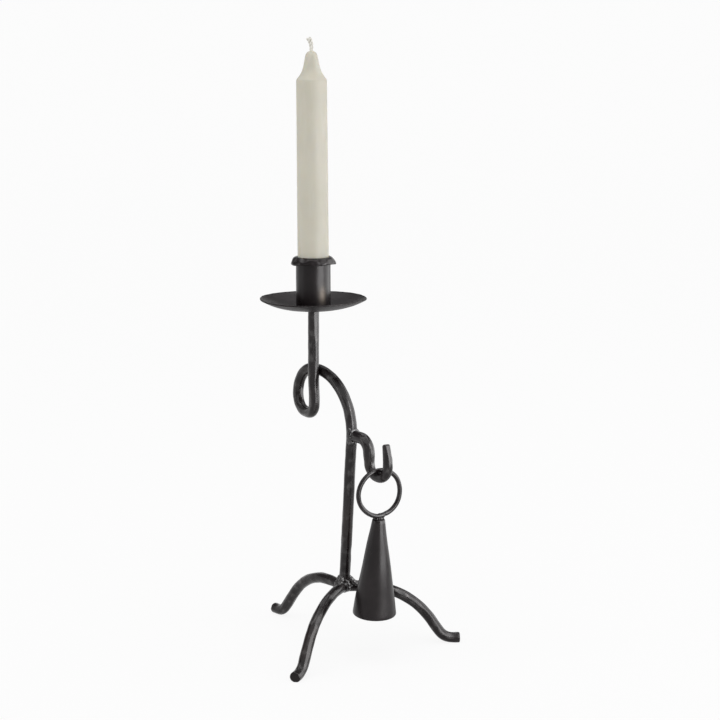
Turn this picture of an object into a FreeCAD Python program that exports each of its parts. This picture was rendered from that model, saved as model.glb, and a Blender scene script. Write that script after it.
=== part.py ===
import FreeCAD, Part
import math
import os
import re

import Sketcher
from FreeCAD import Placement, Rotation, Vector

# Forged candlestick: a tripod, a looped stem, a drip pan with its cup, a candle and a hanging snuffer.
# +Z is up and +X is the way the hook points. The origin is on the floor, in the middle of the outline.
# Lengths are in millimetres and angles in degrees.

SIZES = [
    ("bar_dia", "7.4", "round bar of the stem and the legs"),
    ("root_gap", "0.5", "gap between butted bars, bridged by their weld"),
    ("weld_gap", "0.05", "gap between a weld and what it holds"),
    ("leg_level", "44", "height of the leg roots' centre line"),
    ("leg_bend", "60", "radius of a leg's arch"),
    ("toe_bend", "12", "radius of the bend above a foot"),
    ("foot_length", "10.8", "end of a foot back to the corner of its ankle"),
    ("fore_slope", "54", "steepest angle of the two forward legs, below the horizontal"),
    ("back_slope", "49", "steepest angle of the back leg"),
    ("fore_reach", "84.2", "tripod axis to the end of a forward foot"),
    ("back_reach", "91.2", "tripod axis to the end of the back foot"),
    ("right_heading", "56", "way the right leg points, from the hook's direction"),
    ("front_heading", "61", "way the front leg points, to the other side"),
    ("back_heading", "178.4", "way the back leg points"),
    ("foot_flat", "0.4", "depth ground flat under a foot"),
    ("toe_round", "1.2", "rounding of a foot's cut end"),
    ("stem_tail", "3", "length of stem below the leg roots' centre line"),
    ("stem_lean", "12.1", "how far the arch's shoulder stands ahead of the tripod axis"),
    ("arch_level", "198", "height of the arch's top, centre line"),
    ("arch_bend", "40", "radius of the arch"),
    ("candle_back", "24.9", "candle axis behind the tripod axis"),
    ("crossing_gap", "0.6", "gap where the upright passes the arch"),
    ("loop_width", "27.7", "width of the loop, centre lines"),
    ("loop_drop", "30.7", "height of the loop, centre lines"),
    ("crown_bend", "16", "radius at the loop's upper corner"),
    ("heel_bend", "14.5", "radius at the loop's lower outer corner"),
    ("throat_bend", "8.5", "radius at the loop's lower inner corner"),
    ("pan_level", "244.5", "height of the drip pan's underside"),
    ("pan_dia", "75.8", "drip pan's diameter"),
    ("pan_floor_dia", "26", "flat middle of the drip pan"),
    ("pan_wall", "1.1", "drip pan's plate"),
    ("dish_bend", "54", "radius of the dish, underside"),
    ("candle_dia", "22", "candle's diameter"),
    ("candle_clearance", "0.3", "gap all round the candle in its cup"),
    ("seat_gap", "0.1", "gap under the candle"),
    ("candle_length", "159.1", "candle's foot to its shoulder"),
    ("candle_bevel", "1.8", "bevel at the candle's foot"),
    ("nose_base_dia", "12.8", "candle's nose above the hollow shoulder"),
    ("nose_base_rise", "8.2", "height of the hollow shoulder"),
    ("shoulder_bend", "17", "radius of the hollow shoulder"),
    ("nose_tip_dia", "8.4", "candle's nose below its rounded tip"),
    ("nose_tip_rise", "17.6", "shoulder to the rounded tip"),
    ("nose_rise", "19.5", "shoulder to the top of the wax"),
    ("nose_bend", "4.2", "radius of the rounded tip"),
    ("wick_dia", "2.4", "wick's diameter"),
    ("wick_clearance", "0.05", "gap round the wick in the wax"),
    ("wick_out", "5.5", "wax to the corner of the wick's bend"),
    ("wick_bend", "9", "radius of the wick's bend"),
    ("wick_turn", "26", "angle of the wick's bend"),
    ("wick_tip", "1.9", "straight end of the wick"),
    ("wick_heading", "232", "way the wick's end points, from the hook's direction"),
    ("cup_wall", "0.95", "cup's sheet"),
    ("cup_height", "35.9", "pan to the top of the cup's lip"),
    ("lip_bend", "4.5", "radius of the rolled lip, outside"),
    ("lip_tail", "0.5", "straight tail of the rolled lip"),
    ("hook_level", "157", "height of the hook's root, centre line"),
    ("hook_out", "19.9", "stem axis to the hook's falling limb"),
    ("hook_bend", "9", "radius at the top of the falling limb"),
    ("hook_drop", "24.4", "hook's root to its trough, centre lines"),
    ("trough_width", "21.4", "falling limb to rising limb, centre lines"),
    ("trough_bend", "10", "radius at the trough's two corners"),
    ("tip_rise", "14", "trough to the foot of the leaning tip"),
    ("tip_length", "10.8", "length of the leaning tip"),
    ("tip_lean", "11", "lean of the tip towards the stem"),
    ("tip_bend", "25", "radius where the tip starts to lean"),
    ("hook_root_dia", "7.2", "hook's bar at its root"),
    ("hook_trough_dia", "6.8", "hook's bar in the trough"),
    ("hook_tip_dia", "5", "hook's bar at its tip"),
    ("ring_dia", "36", "ring's outside diameter"),
    ("wire_dia", "3.4", "ring's wire"),
    ("ring_turn", "10", "turn of the hanging ring from square to the hook"),
    ("ring_gap", "0.3", "gap between ring and hook where the ring hangs"),
    ("ring_ahead", "1.3", "ring ahead of the trough's middle"),
    ("ring_seat", "0.8", "gap between ring and cone, bridged by their weld"),
    ("cone_dia", "30.4", "snuffer's mouth, outside"),
    ("cone_top_dia", "8", "snuffer's flat top"),
    ("cone_height", "69.8", "snuffer cone's height"),
    ("cone_wall", "1.2", "snuffer cone's sheet, measured level"),
    ("cone_cap", "2.4", "closed top of the snuffer cone"),
    ("cone_lean", "3.6", "lean of the cone on its ring, mouth towards the stem"),
    ("base_weld_dia", "13", "weld where legs and stem meet"),
    ("base_bead_dia", "6", "weld bead in the corner above a leg's root"),
    ("hook_weld_dia", "12", "weld at the hook's root"),
    ("pan_weld_leg", "1.8", "weld bead round the stem's top end"),
    ("cup_weld_leg", "1.2", "weld bead inside the cup's foot"),
    ("ring_weld_dia", "7", "weld between ring and cone"),
]

DERIVED = [
    ("bar_r", "bar_dia / 2"),
    ("root_face", "bar_r + root_gap"),
    ("toe_level", "bar_r - foot_flat"),
    ("toe_fall", "leg_level - toe_level"),
    ("stem_foot", "leg_level - stem_tail"),
    ("stem_slant", "stem_lean / (arch_level - stem_foot)"),
    ("loop_step", "bar_dia + crossing_gap"),
    ("loop_foot", "arch_level - loop_drop"),
    ("pan_r", "pan_dia / 2"),
    ("pan_floor_r", "pan_floor_dia / 2"),
    ("pan_top", "pan_level + pan_wall"),
    ("dish_rise", "dish_bend - sqrt(dish_bend ^ 2 - (pan_r - pan_floor_r) ^ 2)"),
    ("dish_top", "dish_bend - sqrt((dish_bend - pan_wall) ^ 2 - (pan_r - pan_floor_r) ^ 2)"),
    ("candle_r", "candle_dia / 2"),
    ("candle_foot", "pan_top + seat_gap"),
    ("candle_top", "candle_length + nose_rise"),
    ("wick_r", "wick_dia / 2"),
    ("wick_bore_r", "wick_r + wick_clearance"),
    ("wick_corner", "candle_top + wick_out"),
    ("wick_end", "wick_bend * tan(wick_turn / 2) + wick_tip"),
    ("bore_r", "candle_r + candle_clearance"),
    ("cup_r", "bore_r + cup_wall"),
    ("lip_r", "bore_r + lip_bend"),
    ("lip_base", "cup_height - lip_bend"),
    ("lip_throat", "lip_base + sqrt((lip_bend - cup_wall) ^ 2 - cup_wall ^ 2)"),
    ("hook_axis", "stem_slant * (hook_level - stem_foot)"),
    ("tip_out", "hook_out + trough_width"),
    ("tip_end_out", "tip_out - tip_length * sin(tip_lean)"),
    ("trough_level", "hook_level - hook_drop"),
    ("tip_end_level", "trough_level + tip_rise + tip_length * cos(tip_lean)"),
    ("trough_out", "hook_axis + hook_out + trough_width / 2"),
    ("wire_r", "wire_dia / 2"),
    ("ring_r", "ring_dia / 2 - wire_r"),
    ("ring_level", "trough_level + hook_trough_dia / 2 + ring_gap + wire_r - ring_r"),
    ("cone_r", "cone_dia / 2"),
    ("cone_top_r", "cone_top_dia / 2"),
    ("cone_inside", "cone_height - cone_cap"),
    ("cone_inside_r", "cone_r - (cone_r - cone_top_r) * cone_inside / cone_height - cone_wall"),
    ("cone_hang", "ring_r + wire_r + ring_seat"),
    ("cone_reach", "cone_hang + cone_height"),
    ("hook_front", "hook_axis + tip_out + (hook_trough_dia + hook_tip_dia) / 4"),
    ("stem_x", "(back_reach - hook_front) / 2"),
    ("front_side", "fore_reach * sin(front_heading) + bar_r * cos(front_heading)"),
    ("right_side", "fore_reach * sin(right_heading) + bar_r * cos(right_heading)"),
    ("stem_y", "(front_side - right_side) / 2"),
    ("candle_x", "stem_x - candle_back"),
    ("candle_y", "stem_y - loop_step"),
    ("ring_x", "stem_x + trough_out + ring_ahead"),
    ("cone_top_x", "ring_x - cone_hang * sin(cone_lean)"),
    ("cone_top_z", "ring_level - cone_hang * cos(cone_lean)"),
    ("cone_foot_x", "ring_x - cone_reach * sin(cone_lean)"),
    ("cone_foot_z", "ring_level - cone_reach * cos(cone_lean)"),
]

WORDS = {alias for alias, *rest in SIZES + DERIVED}
UP = Vector(0, 0, 1)
SEAM_TURN = 12

doc = FreeCAD.newDocument("candlestick")
sheet = doc.addObject("Spreadsheet::Sheet", "sizes")
for row, (alias, text, note) in enumerate(SIZES, start=1):
    sheet.set(f"A{row}", note)
    sheet.set(f"B{row}", text)
    sheet.setAlias(f"B{row}", alias)
for row, (alias, formula) in enumerate(DERIVED, start=len(SIZES) + 1):
    sheet.set(f"B{row}", f"={formula}")
    sheet.setAlias(f"B{row}", alias)
doc.recompute()


# Values and ties: an expression is written with the sheet's aliases alone.


def value(expression):
    """Number that an expression gives."""
    return float(sheet.evalExpression(expression))


def tied(expression):
    """The expression as other objects write it, with the sheet's name before each alias."""
    return re.sub(r"[a-z]\w*", lambda word: "sizes." * (word[0] in WORDS) + word[0], expression)


def tie(item, **expressions):
    """Tie an object's properties to the sheet; a double underscore stands for a dot."""
    for name, expression in expressions.items():
        item.setExpression(name.replace("__", "."), tied(expression))


def put(item, x="0", y="0", z="0"):
    """Tie an object's place to the sheet."""
    tie(item, Placement__Base__x=x, Placement__Base__y=y, Placement__Base__z=z)
    return item


def new(kind, label, **expressions):
    """New object of the document, with its sizes tied to the sheet."""
    item = doc.addObject(kind, label)
    item.Label = label
    tie(item, **expressions)
    return item


# Sketches: every corner is a pair of expressions, across and up.


def origin_plane(body, role):
    return next(item for item in body.Origin.OriginFeatures if item.Role == role)


def new_sketch(body, role, name):
    """Sketch on one of the body's own origin planes."""
    sketch = body.newObject("Sketcher::SketchObject", name)
    sketch.AttachmentSupport = [(origin_plane(body, role), "")]
    sketch.MapMode = "FlatFace"
    return sketch


def hold(sketch, kind, refs, expression):
    """Dimension of a sketch, tied to the sheet."""
    index = sketch.addConstraint(Sketcher.Constraint(kind, *refs, value(expression)))
    sketch.setExpression(f"Constraints[{index}]", tied(expression))


def pin(sketch, geometry, end, corner):
    """Pin one end of a line or arc, or a circle's centre, to a corner."""
    for kind, axis, expression in zip(("DistanceX", "DistanceY"), (-2, -1), corner):
        if expression == "0":
            sketch.addConstraint(Sketcher.Constraint("PointOnObject", geometry, end, axis))
        else:
            hold(sketch, kind, (-1, 1, geometry, end), expression)


def spot(corner):
    return Vector(*(value(expression) for expression in corner), 0)


def ends_of(sketch, geometry, start):
    """Numbers of an edge's first and last end; a sketch may store an arc the other way round."""
    ahead = sketch.getPoint(geometry, 1).distanceToPoint(start)
    behind = sketch.getPoint(geometry, 2).distanceToPoint(start)
    return (1, 2) if ahead < behind else (2, 1)


def arc_middle(start, end, radius, side):
    """Middle of the shorter arc. Side 1 bulges to the right of its way, side -1 to the left."""
    chord = end - start
    across = Vector(chord.y, -chord.x, 0).normalize()
    sagitta = radius - math.sqrt(radius**2 - chord.Length**2 / 4)
    return (start + end) / 2 + across * sagitta * side


def closed_outline(sketch, corners, bends):
    """Closed outline through the corners. bends gives, by an edge's number, an arc's radius and side."""
    spots = [spot(corner) for corner in corners]
    ends = []
    for number, start in enumerate(spots):
        end = spots[(number + 1) % len(spots)]
        edge = Part.LineSegment(start, end)
        if number in bends:
            radius, side = bends[number]
            edge = Part.Arc(start, arc_middle(start, end, value(radius), side), end)
        sketch.addGeometry(edge)
        ends.append(ends_of(sketch, number, start))
    for number, corner in enumerate(corners):
        after = (number + 1) % len(corners)
        joint = (number, ends[number][1], after, ends[after][0])
        sketch.addConstraint(Sketcher.Constraint("Coincident", *joint))
        pin(sketch, number, ends[number][0], corner)
    for number, (radius, side) in bends.items():
        hold(sketch, "Radius", (number,), radius)


def rounded(points, radii):
    """Start, middle and end of the arc that rounds each inner corner of a route."""
    arcs = []
    for before, corner, after, radius in zip(points, points[1:], points[2:], radii):
        into = (corner - before).normalize()
        out = (after - corner).normalize()
        half_turn = into.getAngle(out) / 2
        tangent = radius * math.tan(half_turn)
        inward = (out - into).normalize() * radius * (1 / math.cos(half_turn) - 1)
        arcs.append((corner - into * tangent, corner + inward, corner + out * tangent))
    return arcs


def bent_path(sketch, corners, bends):
    """Open path of straight runs through the corners, with an arc at each inner corner."""
    spots = [spot(corner) for corner in corners]
    arcs = rounded(spots, [value(bend) for bend in bends])
    run = sketch.addGeometry(Part.LineSegment(spots[0], arcs[0][0]))
    pin(sketch, run, 1, corners[0])
    marks = []
    for number, (arc, bend) in enumerate(zip(arcs, bends), start=1):
        run_end = arcs[number][0] if number < len(arcs) else spots[-1]
        curve = sketch.addGeometry(Part.Arc(*arc))
        next_run = sketch.addGeometry(Part.LineSegment(arc[2], run_end))
        first, last = ends_of(sketch, curve, arc[0])
        sketch.addConstraint(Sketcher.Constraint("Tangent", run, 2, curve, first))
        sketch.addConstraint(Sketcher.Constraint("Tangent", curve, last, next_run, 1))
        hold(sketch, "Radius", (curve,), bend)
        marks.append((number, run, next_run))
        run = next_run
    pin(sketch, run, 2, corners[-1])
    for number, before, after in marks:
        mark = sketch.addGeometry(Part.Point(spots[number]), True)
        pin(sketch, mark, 1, corners[number])
        sketch.addConstraint(Sketcher.Constraint("PointOnObject", mark, 1, before))
        sketch.addConstraint(Sketcher.Constraint("PointOnObject", mark, 1, after))
    return sketch


# Makers: a piece turned about its own upright axis, and a round bar bent in its own upright plane.


def turned(label, corners, bends=None):
    body = new("PartDesign::Body", label)
    sketch = new_sketch(body, "XZ_Plane", f"{label}_profile")
    closed_outline(sketch, corners, bends or {})
    turn = body.newObject("PartDesign::Revolution", f"{label}_turn")
    turn.Profile = sketch
    turn.ReferenceAxis = (sketch, ["V_Axis"])
    return body


def bent_bar(label, section_plane, offset, radius, centre, corners, bends):
    """The bar's section lies on the plane where the path starts, at its own place on that plane."""
    body = new("PartDesign::Body", label)
    path = bent_path(new_sketch(body, "XZ_Plane", f"{label}_path"), corners, bends)
    section = new_sketch(body, section_plane, f"{label}_section")
    tie(section, AttachmentOffset__Base__z=offset)
    section.addGeometry(Part.Circle(spot(centre), UP, value(radius)))
    hold(section, "Radius", (0,), radius)
    pin(section, 0, 3, centre)
    bar = body.newObject("PartDesign::AdditivePipe", f"{label}_bar")
    bar.Profile = section
    bar.Spine = path
    doc.recompute()
    return body, bar


def set_heading(item, heading):
    """Turn a piece about its own upright axis."""
    item.Placement = Placement(Vector(), Rotation(UP, value(heading)))
    tie(item, Placement__Rotation__Angle=heading)


# Tripod: three legs, the back one longer. Each runs level, arches down and ends in a level foot.


def make_leg(label, heading, slope, reach):
    corners = [
        ("root_face", "leg_level"),
        (f"{reach} - foot_length - toe_fall / tan({slope})", "leg_level"),
        (f"{reach} - foot_length", "toe_level"),
        (reach, "toe_level"),
    ]
    centre = ("0", "leg_level")
    bends = ["leg_bend", "toe_bend"]
    body, bar = bent_bar(label, "YZ_Plane", "root_face", "bar_r", centre, corners, bends)
    edges = bar.Shape.Edges
    farthest = max(range(len(edges)), key=lambda number: edges[number].CenterOfMass.x)
    toe = body.newObject("PartDesign::Fillet", f"{label}_toe")
    toe.Base = (bar, [f"Edge{farthest + 1}"])
    tie(toe, Radius="toe_round")
    flat = body.newObject("PartDesign::SubtractiveBox", f"{label}_flat")
    flat.AttachmentSupport = [(origin_plane(body, "XY_Plane"), "")]
    flat.MapMode = "FlatFace"
    tie(flat, Length=f"{reach} + bar_dia", Width="2 * bar_dia", Height="bar_dia")
    tie(flat, AttachmentOffset__Base__y="-bar_dia", AttachmentOffset__Base__z="-bar_dia")
    set_heading(body, heading)
    return put(body, "stem_x", "stem_y")


LEGS = {
    "leg_right": ("right_heading", "fore_slope", "fore_reach"),
    "leg_front": ("-front_heading", "fore_slope", "fore_reach"),
    "leg_back": ("back_heading", "back_slope", "back_reach"),
}
legs = [make_leg(label, *shape) for label, shape in LEGS.items()]

# Stem: one bar, up from the tripod, over the arch, once round the loop and up to the pan.
# The loop steps aside by one bar, so that the upright passes in front of the arch.


def stem_route():
    back = value("-candle_back")
    far = value("-candle_back - loop_width")
    step = value("-loop_step")
    top = value("arch_level")
    foot = value("loop_foot")
    points = [
        Vector(0, 0, value("stem_foot")),
        Vector(value("stem_lean"), 0, top),
        Vector(far, 0, top),
        Vector(far, step / 2, foot),
        Vector(back, step, foot),
        Vector(back, step, value("pan_level - weld_gap")),
    ]
    bends = [value(bend) for bend in ("arch_bend", "crown_bend", "heel_bend", "throat_bend")]
    edges = []
    start = points[0]
    for arc in rounded(points, bends):
        edges += [Part.LineSegment(start, arc[0]), Part.Arc(*arc)]
        start = arc[2]
    edges.append(Part.LineSegment(start, points[-1]))
    return Part.Wire([edge.toShape() for edge in edges])


def spine_of(path):
    return (path, [f"Edge{number}" for number in range(1, len(path.Shape.Edges) + 1)])


stem_rotation = Rotation(UP, Vector(value("stem_slant"), 0, 1))
stem_path = new("Part::Feature", "stem_path")
stem_path.Shape = stem_route()


def make_stem(label, radius):
    section = new("Part::Circle", f"{label}_section", Radius=radius)
    section.Placement = Placement(Vector(), stem_rotation)
    put(section, z="stem_foot")
    bar = new("Part::Sweep", label)
    bar.Sections = [section]
    bar.Spine = spine_of(stem_path)
    bar.Solid = True
    return put(bar, "stem_x", "stem_y")


stem = make_stem("stem", "bar_r")

# Hook: a bar that thins towards its tip. It leaves the stem level, falls, turns in the trough and rises.

hook_body = new("PartDesign::Body", "hook_route")
hook_path = new_sketch(hook_body, "XZ_Plane", "hook_path")
HOOK_CORNERS = [
    ("root_face", "hook_level"),
    ("hook_out", "hook_level"),
    ("hook_out", "trough_level"),
    ("tip_out", "trough_level"),
    ("tip_out", "trough_level + tip_rise"),
    ("tip_end_out", "tip_end_level"),
]
bent_path(hook_path, HOOK_CORNERS, ["hook_bend", "trough_bend", "trough_bend", "tip_bend"])
doc.recompute()


def hook_section(label, diameter, corner, heading):
    section = new("Part::Circle", label, Radius=f"{diameter} / 2")
    section.Placement = Placement(Vector(), Rotation(UP, heading))
    return put(section, corner[0], "0", corner[1])


tip_heading = Vector(value("-sin(tip_lean)"), 0, value("cos(tip_lean)"))
trough_middle = ("hook_out + trough_width / 2", "trough_level")
snuffer_hook = new("Part::Sweep", "snuffer_hook")
snuffer_hook.Sections = [
    hook_section("hook_root_section", "hook_root_dia", HOOK_CORNERS[0], Vector(1, 0, 0)),
    hook_section("hook_trough_section", "hook_trough_dia", trough_middle, Vector(1, 0, 0)),
    hook_section("hook_tip_section", "hook_tip_dia", HOOK_CORNERS[-1], tip_heading),
]
snuffer_hook.Spine = spine_of(hook_path)
snuffer_hook.Solid = True
put(snuffer_hook, "stem_x + hook_axis", "stem_y")

# Drip pan and cup: both round the candle's axis.

drip_pan = turned(
    "drip_pan",
    [
        ("0", "0"),
        ("pan_floor_r", "0"),
        ("pan_r", "dish_rise"),
        ("pan_r", "dish_top"),
        ("pan_floor_r", "pan_wall"),
        ("0", "pan_wall"),
    ],
    {1: ("dish_bend", 1), 3: ("dish_bend - pan_wall", -1)},
)
put(drip_pan, "candle_x", "candle_y", "pan_level")

candle_cup = turned(
    "candle_cup",
    [
        ("bore_r", "0"),
        ("cup_r", "0"),
        ("cup_r", "lip_throat"),
        ("lip_r - cup_wall", "lip_base"),
        ("lip_r - cup_wall", "lip_base - lip_tail"),
        ("lip_r", "lip_base - lip_tail"),
        ("lip_r", "lip_base"),
        ("bore_r", "cup_height"),
    ],
    {2: ("lip_bend - cup_wall", -1), 6: ("lip_bend", 1)},
)
put(candle_cup, "candle_x", "candle_y", "pan_top")

# Candle: wax with a hollow shoulder and a blunt nose, and a wick that runs right through it.

candle_wax = turned(
    "candle_wax",
    [
        ("wick_bore_r", "0"),
        ("candle_r - candle_bevel", "0"),
        ("candle_r", "candle_bevel"),
        ("candle_r", "candle_length"),
        ("nose_base_dia / 2", "candle_length + nose_base_rise"),
        ("nose_tip_dia / 2", "candle_length + nose_tip_rise"),
        ("wick_bore_r", "candle_top"),
    ],
    {3: ("shoulder_bend", -1), 5: ("nose_bend", 1)},
)
put(candle_wax, "candle_x", "candle_y", "candle_foot")

WICK_CORNERS = [
    ("0", "0"),
    ("0", "wick_corner"),
    ("wick_end * sin(wick_turn)", "wick_corner + wick_end * cos(wick_turn)"),
]
candle_wick, wick_bar = bent_bar(
    "candle_wick", "XY_Plane", "0", "wick_r", ("0", "0"), WICK_CORNERS, ["wick_bend"]
)
set_heading(candle_wick, "wick_heading")
put(candle_wick, "candle_x", "candle_y", "candle_foot")

# Snuffer: a hollow cone, closed at its top, that hangs by a wire ring from the hook's trough.

snuffer_cone = turned(
    "snuffer_cone",
    [
        ("cone_r - cone_wall", "0"),
        ("cone_r", "0"),
        ("cone_top_r", "cone_height"),
        ("0", "cone_height"),
        ("0", "cone_inside"),
        ("cone_inside_r", "cone_inside"),
    ],
)


def set_lean(item):
    """Put a piece at the cone's mouth, leaning as the cone does."""
    item.Placement = Placement(Vector(), Rotation(Vector(0, 1, 0), value("cone_lean")))
    return put(item, "cone_foot_x", "stem_y", "cone_foot_z")


set_lean(snuffer_cone)
ring_rotation = Rotation(UP, -value("ring_turn")) * Rotation(UP, Vector(1, 0, 0))


def make_ring(label, wire_radius):
    ring = new("Part::Torus", label, Radius1="ring_r", Radius2=wire_radius)
    ring.Placement = Placement(Vector(), ring_rotation)
    return put(ring, "ring_x", "stem_y", "ring_level")


snuffer_ring = make_ring("snuffer_ring", "wire_r")

# Welds: beads and lumps, each cut clear of the bars that it holds.


def cut_clear(label, lumps, tools):
    """Lumps fused into one weld, less each bar that runs through it."""
    weld = lumps[0]
    if len(lumps) > 1:
        weld = new("Part::MultiFuse", f"{label}_lumps")
        weld.Shapes = lumps
    for left, tool in reversed(list(enumerate(reversed(tools)))):
        cut = new("Part::Cut", f"{label}_less_{left}" if left else label)
        cut.Base = weld
        cut.Tool = tool
        weld = cut
    return weld


def lump(label, diameter, x, y, z):
    """Round lump, turned a little so that its seam lies clear of the bars' seams."""
    item = new("Part::Sphere", label, Radius=f"{diameter} / 2")
    item.Placement = Placement(Vector(), Rotation(UP, SEAM_TURN))
    return put(item, x, y, z)


def rod(label, diameter, length, rotation, x, y, z):
    """Straight rod in place of the bar that runs through a weld."""
    item = new("Part::Cylinder", label, Radius=f"{diameter} / 2 + weld_gap", Height=length)
    item.Placement = Placement(Vector(), rotation)
    return put(item, x, y, z)


def along(heading):
    """Rotation that lays an upright rod level, pointing along a heading."""
    return Rotation(UP, value(heading)) * Rotation(UP, Vector(1, 0, 0)) * Rotation(UP, SEAM_TURN)


base_lumps = [lump("base_lump", "base_weld_dia", "stem_x", "stem_y", "leg_level")]
base_bars = [rod("base_stem", "bar_dia", "base_weld_dia", stem_rotation, "stem_x", "stem_y", "stem_foot")]
for label, (heading, *rest) in LEGS.items():
    root_x = f"stem_x + root_face * cos({heading})"
    root_y = f"stem_y + root_face * sin({heading})"
    base_lumps.append(lump(f"{label}_bead", "base_bead_dia", root_x, root_y, "leg_level + bar_r"))
    root = (f"{label}_root", "bar_dia", "base_weld_dia", along(heading))
    base_bars.append(rod(*root, "stem_x", "stem_y", "leg_level"))
base_weld = cut_clear("base_weld", base_lumps, base_bars)

HOOK_ROOT = ("stem_x + hook_axis + root_face", "stem_y", "hook_level")
hook_weld = cut_clear(
    "hook_weld",
    [lump("hook_lump", "hook_weld_dia", *HOOK_ROOT)],
    [
        make_stem("stem_room", "bar_r + weld_gap"),
        rod("hook_root", "hook_root_dia", "hook_weld_dia", along("0"), *HOOK_ROOT),
    ],
)

pan_weld = turned(
    "pan_weld",
    [
        ("bar_r + weld_gap", "0"),
        ("bar_r + weld_gap + pan_weld_leg", "pan_weld_leg"),
        ("bar_r + weld_gap", "pan_weld_leg"),
    ],
)
put(pan_weld, "candle_x", "candle_y", "pan_level - weld_gap - pan_weld_leg")

cup_weld = turned(
    "cup_weld",
    [
        ("bore_r - weld_gap - cup_weld_leg", "0"),
        ("bore_r - weld_gap", "0"),
        ("bore_r - weld_gap", "cup_weld_leg"),
    ],
)
put(cup_weld, "candle_x", "candle_y", "pan_top + weld_gap")

cone_below = new("Part::Cylinder", "cone_below", Radius="cone_r", Height="cone_height + weld_gap")
ring_weld = cut_clear(
    "ring_weld",
    [lump("ring_lump", "ring_weld_dia", "cone_top_x", "stem_y", "cone_top_z")],
    [make_ring("ring_room", "wire_r + weld_gap"), set_lean(cone_below)],
)

# Every piece is tested, then written to a file of its own name.

PIECES = legs + [
    stem,
    snuffer_hook,
    drip_pan,
    candle_cup,
    candle_wax,
    candle_wick,
    snuffer_cone,
    snuffer_ring,
    base_weld,
    hook_weld,
    pan_weld,
    cup_weld,
    ring_weld,
]

doc.recompute()
for item in doc.Objects:
    if "Invalid" in item.State or "Error" in item.State:
        raise RuntimeError(f"{item.Label} failed: {item.State}")
for piece in PIECES:
    if piece.Shape.isNull() or not piece.Shape.isValid() or len(piece.Shape.Solids) != 1:
        raise RuntimeError(f"{piece.Label} is not one valid solid")

bar_volume = math.pi * value("bar_r") ** 2 * stem_path.Shape.Length
print(f"stem volume {stem.Shape.Volume:.1f}, section times length {bar_volume:.1f}")

os.makedirs("parts", exist_ok=True)
for piece in PIECES:
    piece.Shape.exportStep(f"parts/{piece.Label}.step")
    box = piece.Shape.BoundBox
    print(f"{piece.Label:14s} {piece.Shape.Volume:10.1f} mm3  x {box.XMin:7.2f} {box.XMax:7.2f}", end="")
    print(f"  y {box.YMin:7.2f} {box.YMax:7.2f}  z {box.ZMin:7.2f} {box.ZMax:7.2f}")
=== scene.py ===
import math
import random

import bmesh
import bpy
from mathutils import Matrix, Vector, noise


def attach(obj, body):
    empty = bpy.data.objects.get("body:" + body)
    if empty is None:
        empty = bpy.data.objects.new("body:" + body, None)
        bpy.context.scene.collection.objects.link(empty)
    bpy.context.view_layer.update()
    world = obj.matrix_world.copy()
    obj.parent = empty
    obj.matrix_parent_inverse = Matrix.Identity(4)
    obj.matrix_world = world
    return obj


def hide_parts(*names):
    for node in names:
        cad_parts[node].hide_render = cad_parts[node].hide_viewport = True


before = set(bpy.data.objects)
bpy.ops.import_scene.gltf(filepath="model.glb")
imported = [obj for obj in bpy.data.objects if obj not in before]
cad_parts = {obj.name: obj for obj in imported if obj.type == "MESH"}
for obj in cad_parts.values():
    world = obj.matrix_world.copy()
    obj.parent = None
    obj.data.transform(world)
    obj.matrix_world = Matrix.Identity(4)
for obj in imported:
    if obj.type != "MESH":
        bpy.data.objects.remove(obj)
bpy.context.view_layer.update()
mm = 0.001
fullTurn = 2 * math.pi
upward = Vector((0, 0, 1))
scene = bpy.context.scene
scene.view_settings.view_transform = "Standard"
print("frame loaded:", len(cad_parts), "nodes")

# camera at the photograph's place, looking a little down
photoView = {
    "turn": 52.331,  # degrees, from -Y round towards +X
    "place": (1043.33, -774.55, 456.74),  # mm
    "pitch": 10.872,  # degrees down
    "lens": 92.88,
    "sensor": 36,
    "farthest": 100,  # metres
}


def setCamera():
    data = bpy.data.cameras.new("photoCamera")
    data.lens = photoView["lens"]
    data.sensor_width = photoView["sensor"]
    data.sensor_fit = "HORIZONTAL"
    data.clip_end = photoView["farthest"]
    camera = bpy.data.objects.new("photoCamera", data)
    camera.location = Vector(photoView["place"]) * mm
    camera.rotation_euler = (math.radians(90 - photoView["pitch"]), 0, math.radians(photoView["turn"]))
    scene.collection.objects.link(camera)
    scene.camera = camera


setCamera()
print("camera set")


class Wire:  # a socket that takes plain arithmetic
    def __init__(self, finish, socket):
        self.finish = finish
        self.socket = socket

    def math(self, operation, first, second):
        return self.finish.node("Math", {"operation": operation}, {0: first, 1: second})

    def __add__(self, other):
        return self.math("ADD", self, other)

    def __radd__(self, other):
        return self.math("ADD", other, self)

    def __sub__(self, other):
        return self.math("SUBTRACT", self, other)

    def __rsub__(self, other):
        return self.math("SUBTRACT", other, self)

    def __mul__(self, other):
        return self.math("MULTIPLY", self, other)

    def __rmul__(self, other):
        return self.math("MULTIPLY", other, self)


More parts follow.
